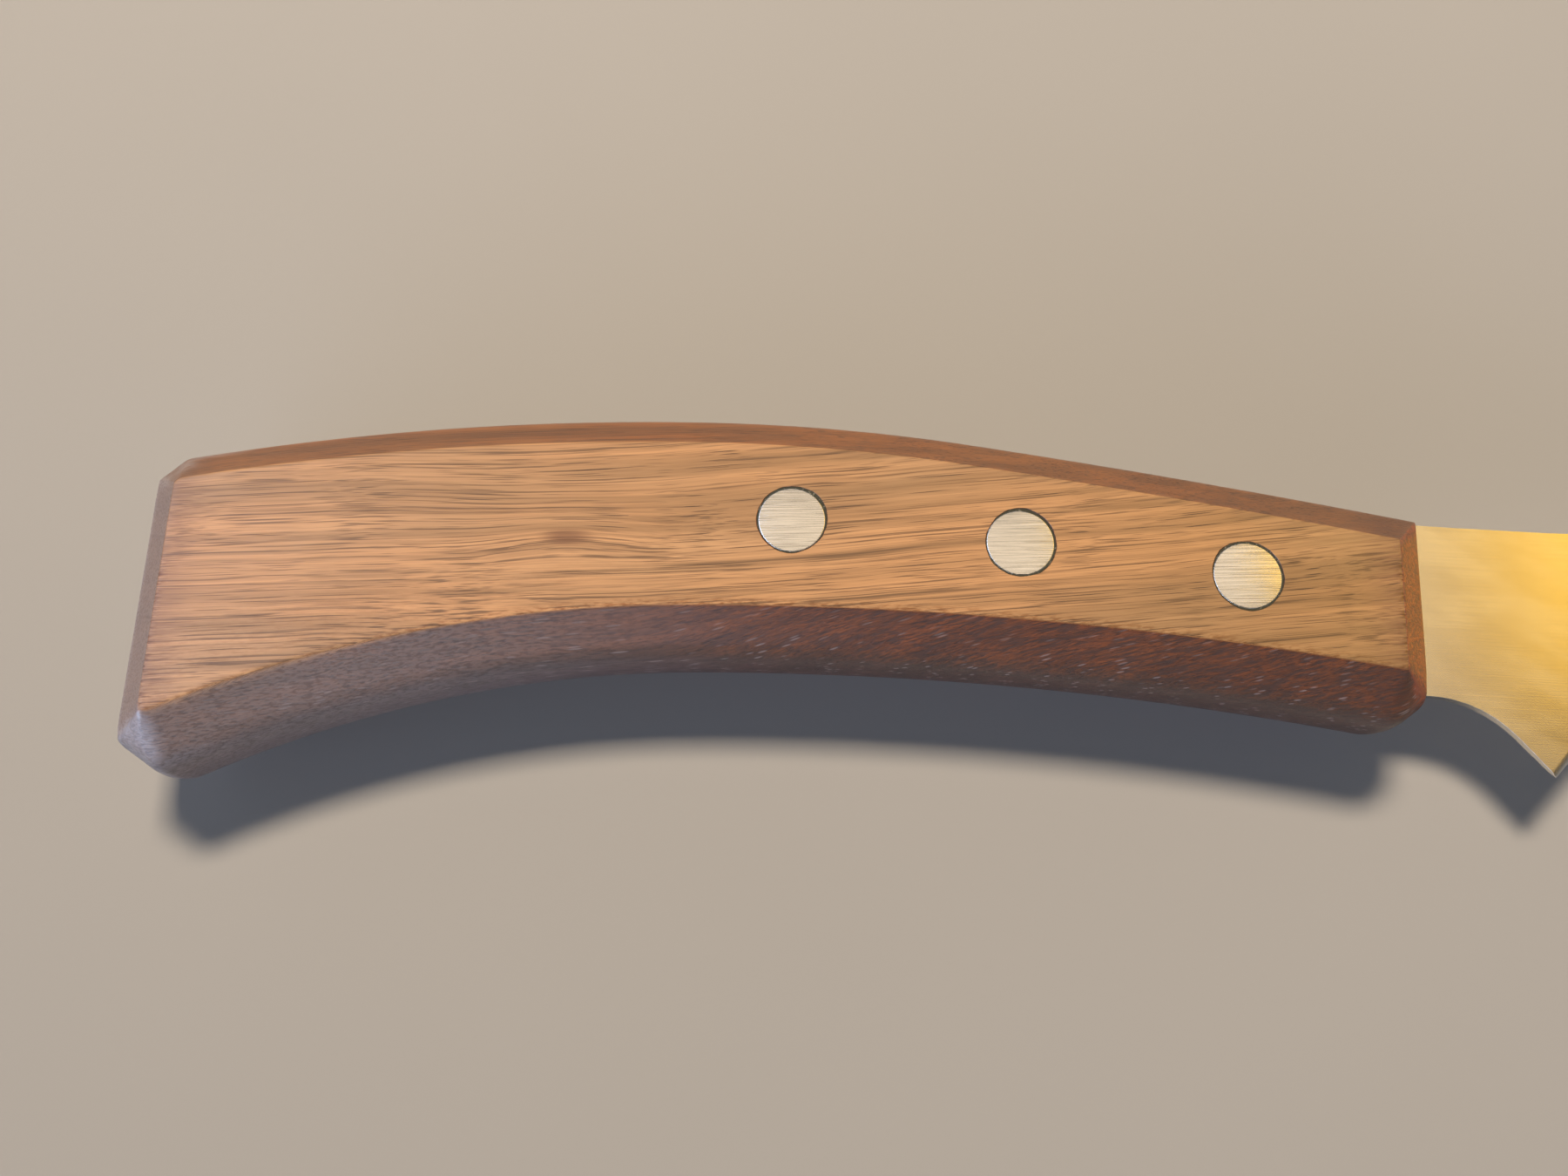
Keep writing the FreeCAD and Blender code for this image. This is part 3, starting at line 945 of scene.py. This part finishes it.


# %% [markdown]
# ## Layers of the walnut
# A board's colour is built up as a finisher sees it: the broad tone, then the bands, veins
# and lines, then the pores, then what happened to it, which is oil and wear. Painted light
# is mixed in too: a cool sheen on the walls, cool light at the rear, glints on the lower
# bevel and highlights along the butt's edges. Each layer is a mask and a colour, mixed over
# the last one. One picture of wood could do it all, but it would have to be cut apart at
# every bevel, and this figure runs through.

# %% Walnut material
def make_walnut():
    material, tree, shader = new_material("walnut", (0.40, 0.22, 0.11))
    place = add(tree, "ShaderNodeTexCoord").outputs["Object"]
    normal = add(tree, "ShaderNodeNewGeometry").outputs["Normal"]
    facing = add(tree, "ShaderNodeSeparateXYZ", {0: normal}).outputs
    where = add(tree, "ShaderNodeSeparateXYZ", {0: place}).outputs
    edge = add(tree, "ShaderNodeAttribute", attribute_name="edge").outputs["Fac"]

    # which face this is: 1 on the belly's bevels and wall, 1 off the flats, 1 on the two ends
    belly = ramp(tree, facing[1], -0.25, -0.5)
    off_flat = ramp(tree, calc(tree, "ABSOLUTE", facing[2]), 0.95, 0.78)
    belly_side = ramp(tree, where[1], 0.004, 0.0)
    painted_wall_sheen = ramp(tree, calc(tree, "ABSOLUTE", facing[2]), 0.62, 0.30)
    ends = ramp(tree, calc(tree, "ABSOLUTE", facing[0]), 0.35, 0.62)
    lean = ramp(tree, where[0], -0.105, -0.065, 0.04, 0.24)
    front_half = ramp(tree, where[0], -0.105, -0.060)

    fibres = use_group(tree, FIBRES, {"Place": place, "Lean": calc(tree, "MULTIPLY", belly, lean)})
    marks = {"Place": fibres["Along Fibres"]}

    def streak(length, width, shift, low, high):
        return use_group(tree, STREAKS, marks | {
            "Length": length, "Width": width, "Shift": shift, "Low": low, "High": high,
        })["Mask"]

    def dash(length, width, shift, size, share):
        return use_group(tree, DASHES, marks | {
            "Length": length, "Width": width, "Shift": shift, "Size": size, "Share": share,
        })["Mask"]

    patches = streak(38.0, 9.0, 21.0, 0.30, 0.70)
    bands = streak(90.0, 1.9, 0.0, 0.38, 0.66)
    veins = streak(70.0, 0.60, 3.1, 0.50, 0.72)
    lines = streak(75.0, 0.19, 7.7, 0.52, 0.65)
    hair = streak(10.0, 0.13, 11.3, 0.35, 0.70)
    breaks = streak(16.0, 1.6, 17.9, 0.26, 0.50)
    lines = calc(tree, "MULTIPLY", lines, breaks)
    pores = dash(11.0, 0.16, 2.2, 0.34, 0.60)
    pores = calc(tree, "MULTIPLY", pores, ramp(tree, bands, 0.0, 0.9, 0.55, 1.0))
    ticks = dash(5.0, 0.13, 9.1, 0.32, 0.50)
    flecks = dash(3.4, 0.40, 5.5, 0.33, 0.48)
    slivers = streak(4.2, 0.38, 8.4, 0.44, 0.60)
    specks = streak(0.9, 0.24, 14.6, 0.40, 0.68)

    color = blend(tree, bands, (0.600, 0.350, 0.176), (0.400, 0.238, 0.118))
    color = blend(tree, patches, color, (1.04, 0.96, 0.88), "MULTIPLY")
    color = blend(tree, calc(tree, "MULTIPLY", veins, 0.52), color, (0.240, 0.135, 0.062))
    color = blend(tree, calc(tree, "MULTIPLY", lines, 0.85), color, (0.135, 0.075, 0.038))
    color = blend(tree, calc(tree, "MULTIPLY", hair, 0.30), color, (0.25, 0.132, 0.060))
    color = blend(tree, calc(tree, "MULTIPLY", pores, 0.92), color, (0.075, 0.042, 0.025))
    color = blend(tree, calc(tree, "MULTIPLY", ticks, 0.55), color, (0.105, 0.055, 0.029))
    color = blend(tree, calc(tree, "MULTIPLY", fibres["Knot"], 0.68), color, (0.15, 0.060, 0.027))
    color = blend(tree, ramp(tree, where[0], -0.060, -0.020), color, (0.82, 0.81, 0.72), "MULTIPLY")

    # oil soaks in along the fibres at both ends of the flat
    rear_soak = ramp(tree, where[0], -0.1285, -0.1340)
    front_soak = ramp(tree, where[0], -0.0215, -0.0165)
    soak = calc(tree, "MAXIMUM", rear_soak, front_soak)
    soak = calc(tree, "MULTIPLY", soak, calc(tree, "ADD", 0.30, calc(tree, "MULTIPLY", hair, 0.55)))
    color = blend(tree, soak, color, (0.22, 0.105, 0.058))

    frayed = calc(tree, "MULTIPLY", calc(tree, "MULTIPLY", edge, belly_side), specks)
    off_flat = calc(tree, "MAXIMUM", off_flat, frayed)
    color = blend(tree, off_flat, color, (0.46, 0.29, 0.13), "MULTIPLY")
    color = blend(tree, belly, color, (0.92, 0.90, 1.00), "MULTIPLY")
    # painted reflection: the walls are darkened and a cool sheen is multiplied into their colour
    color = blend(tree, painted_wall_sheen, color, (0.46, 0.72, 3.20), "MULTIPLY")
    red_part = calc(tree, "MULTIPLY", belly, front_half)
    color = blend(tree, red_part, color, (1.12, 0.82, 0.48), "MULTIPLY")
    front_end = calc(tree, "MULTIPLY", ends, ramp(tree, facing[0], 0.0, 0.3))
    color = blend(tree, front_end, color, (3.00, 2.00, 0.95), "MULTIPLY")
    rough_cut = calc(tree, "MAXIMUM", belly, calc(tree, "MULTIPLY", ends, 0.9))
    dark_cut = calc(tree, "MULTIPLY", calc(tree, "MULTIPLY", slivers, front_half), 0.72)
    dark_cut = calc(tree, "MAXIMUM", dark_cut, calc(tree, "MULTIPLY", specks, 0.50))
    dark_cut = calc(tree, "MULTIPLY", dark_cut, rough_cut)
    color = blend(tree, dark_cut, color, (0.055, 0.026, 0.017))
    low_down = ramp(tree, where[2], 0.0152, 0.0125, 0.25, 0.60)
    glint = calc(tree, "MULTIPLY", flecks, calc(tree, "MULTIPLY", belly, low_down))
    color = blend(tree, glint, color, (0.42, 0.31, 0.28))
    # painted light: a cool grey-pale haze on the belly and the ends, strongest at the rear and broken
    # by fine specks
    rearward = ramp(tree, where[0], -0.075, -0.120, 0.0, 0.42)
    painted_cool_light = calc(tree, "MULTIPLY", calc(tree, "MAXIMUM", belly, ends), rearward)
    painted_cool_light = calc(tree, "MULTIPLY", painted_cool_light, ramp(tree, specks, 0.0, 1.0, 1.1, 0.55))
    color = blend(tree, painted_cool_light, color, (0.36, 0.30, 0.28))
    worn = calc(tree, "MULTIPLY", edge, ramp(tree, hair, 0.0, 1.0, 0.06, 0.26))
    worn = calc(tree, "MULTIPLY", worn, calc(tree, "SUBTRACT", 1.0, belly_side))
    color = blend(tree, worn, color, (0.30, 0.175, 0.105))
    # painted highlights: pale lines along the butt's edges, strongest near the middle of its thickness
    # and broken by fine specks
    painted_edge_highlight = calc(tree, "MULTIPLY", edge, ramp(tree, where[0], -0.126, -0.131, 0.0, 0.42))
    from_middle = calc(tree, "ABSOLUTE", calc(tree, "SUBTRACT", where[2], THICK / 2))
    painted_edge_highlight = calc(tree, "MULTIPLY", painted_edge_highlight, ramp(tree, from_middle, 0.0072, 0.0058, 0.12, 1.0))
    painted_edge_highlight = calc(tree, "MULTIPLY", painted_edge_highlight, ramp(tree, specks, 0.2, 0.9, 1.0, 0.35))
    color = blend(tree, painted_edge_highlight, color, (0.48, 0.45, 0.48))

    relief = calc(tree, "SUBTRACT", calc(tree, "MULTIPLY", hair, 0.22), pores)
    relief = calc(tree, "SUBTRACT", relief, calc(tree, "MULTIPLY", lines, 0.35))
    relief = calc(tree, "SUBTRACT", relief, calc(tree, "MULTIPLY", dark_cut, 1.5))
    bump = add(tree, "ShaderNodeBump", {"Height": relief, "Strength": 0.55, "Distance": 0.00005})
    rougher = calc(tree, "MULTIPLY", rough_cut, 0.12)
    roughness = calc(tree, "ADD", ramp(tree, pores, 0.0, 1.0, 0.44, 0.62), rougher)
    feed(tree, shader, Base_Color=color, Roughness=roughness, Normal=bump.outputs[0])
    shader.inputs["Coat Weight"].default_value = 0.4
    shader.inputs["Coat Roughness"].default_value = 0.30
    return material


walnut = make_walnut()
handle.data.materials.clear()
handle.data.materials.append(walnut)
print("walnut uses", len(walnut.node_tree.nodes), "nodes")


# %% [markdown]
# ## Painted gap shade
# The ring that paints the gap's shade is dull, nearly black and a little grainy. It
# could share the walnut's material, but it has no grain. Fine noise gives it pale specks
# and a rough skin.

# %% Painted gap shade material
def make_painted_gap_shade():
    """Painted shade for the gap: nearly black, a little green, with a few pale specks."""
    material, tree, shader = new_material("painted_gap_shade", (0.03, 0.03, 0.02))
    place = add(tree, "ShaderNodeTexCoord").outputs["Object"]
    noise = add(tree, "ShaderNodeTexNoise", {"Vector": place, "Scale": 3800.0, "Detail": 2.0})
    specks = noise.outputs[0]
    color = blend(tree, ramp(tree, specks, 0.58, 0.72), (0.045, 0.045, 0.030), (0.20, 0.19, 0.15))
    bump = add(tree, "ShaderNodeBump", {"Height": specks, "Strength": 0.7, "Distance": 0.00006})
    feed(tree, shader, Base_Color=color, Roughness=0.65, Normal=bump.outputs[0])
    return material


gap_shade_material = make_painted_gap_shade()
for ring in gaps:
    ring.data.materials.append(gap_shade_material)
print("filler on", len(gaps), "rings")


# %% [markdown]
# ## Steel
# The blade's sides were ground, so they carry very fine scratches that run along the blade,
# crossed by broad faint clouds where the wheel pressed harder. The rivet heads were sanded
# with the wood, so their lines are coarser and run along the handle too. A scratch tilts the
# steel a little to both sides, and that smears reflections across it.

# %% Steel materials
def flat_place(tree):
    """Object coordinates seen from above, so that a small tilt doesn't break the lines up."""
    place = add(tree, "ShaderNodeTexCoord").outputs["Object"]
    return calc_vector(tree, "MULTIPLY", place, (1.0, 1.0, 0.0))


def make_blade_steel():
    # the steel's colours are a little warm: partly its own tone, partly a painted golden reflection
    material, tree, shader = new_material("blade_steel", (0.80, 0.76, 0.69))
    place = flat_place(tree)

    def streak(length, width, turn, low, high):
        return use_group(tree, STREAKS, {
            "Place": place, "Length": length, "Width": width, "Turn": math.radians(turn),
            "Low": low, "High": high,
        })["Mask"]

    fine = streak(14.0, 0.12, 3.0, 0.25, 0.75)
    cloud = streak(11.0, 4.0, 18.0, 0.30, 0.70)
    color = blend(tree, cloud, (0.76, 0.70, 0.60), (0.83, 0.78, 0.70))
    color = blend(tree, calc(tree, "MULTIPLY", fine, 0.30), color, (0.66, 0.62, 0.56))
    bump = add(tree, "ShaderNodeBump", {"Height": fine, "Strength": 0.15, "Distance": 0.00001})
    feed(tree, shader, Base_Color=color, Metallic=1.0, Normal=bump.outputs[0])
    feed(tree, shader, Roughness=ramp(tree, cloud, 0.0, 1.0, 0.23, 0.26))
    return material


def make_rivet_steel():
    material, tree, shader = new_material("rivet_steel", (0.86, 0.84, 0.79))
    place = flat_place(tree)

    def streak(length, width, shift, low, high):
        return use_group(tree, STREAKS, {
            "Place": place, "Length": length, "Width": width, "Turn": math.radians(-1.0),
            "Shift": shift, "Low": low, "High": high,
        })["Mask"]

    fine = streak(9.0, 0.065, 0.0, 0.34, 0.66)
    deep = streak(8.0, 0.16, 6.0, 0.54, 0.68)
    color = blend(tree, fine, (0.96, 0.94, 0.90), (0.68, 0.65, 0.59))
    color = blend(tree, calc(tree, "MULTIPLY", deep, 0.50), color, (0.44, 0.41, 0.36))
    relief = calc(tree, "ADD", fine, deep)
    bump = add(tree, "ShaderNodeBump", {"Height": relief, "Strength": 0.35, "Distance": 0.00002})
    feed(tree, shader, Base_Color=color, Metallic=1.0, Roughness=0.24, Normal=bump.outputs[0])
    return material


blade.data.materials.clear()
blade.data.materials.append(make_blade_steel())
rivet_steel = make_rivet_steel()
for piece in rivets.values():
    piece.data.materials.append(rivet_steel)
print("steels on", 1 + len(rivets), "pieces")
